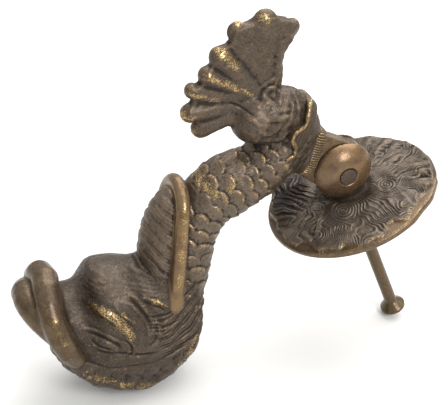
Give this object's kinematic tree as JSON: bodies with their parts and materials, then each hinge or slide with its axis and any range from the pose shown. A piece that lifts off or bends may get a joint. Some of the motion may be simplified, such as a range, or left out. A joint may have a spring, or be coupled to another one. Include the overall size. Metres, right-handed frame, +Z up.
{
  "type": "door knocker",
  "caption": "Cast bronze door knocker: a curled dolphin-like fish with a fan tail swings on a pin between the ears of a round rose plate.",
  "frame": {"origin": "centre of the rose plate's flat back, where it meets the door", "axes": "+Z up, -Y out of the door towards the visitor, +Y into the door along the fixing screw, X along the hinge pin"},
  "size_m": [0.084, 0.194, 0.2087],
  "materials": {
    "fish_bronze": "dark brown patina over cast bronze, rubbed gold on the crests",
    "rose_bronze": "dark grey-brown patina, warm brown on the rim and ears",
    "pin_steel": "dark oxidised, hammered flush",
    "screw_brass": "dull olive brown, aged"
  },
  "bodies": {
    "rose": {"rose_plate": "rose_bronze", "hinge_pin": "pin_steel", "fixing_screw": "screw_brass"},
    "fish": {"fish": "fish_bronze"}
  },
  "joints": [
    {"name": "fish_swing", "type": "hinge", "parent": "rose", "child": "fish", "pos_m": [0, -0.0205, 0], "axis": [-1, 0, 0], "range_deg": [-25, 95]}
  ]
}
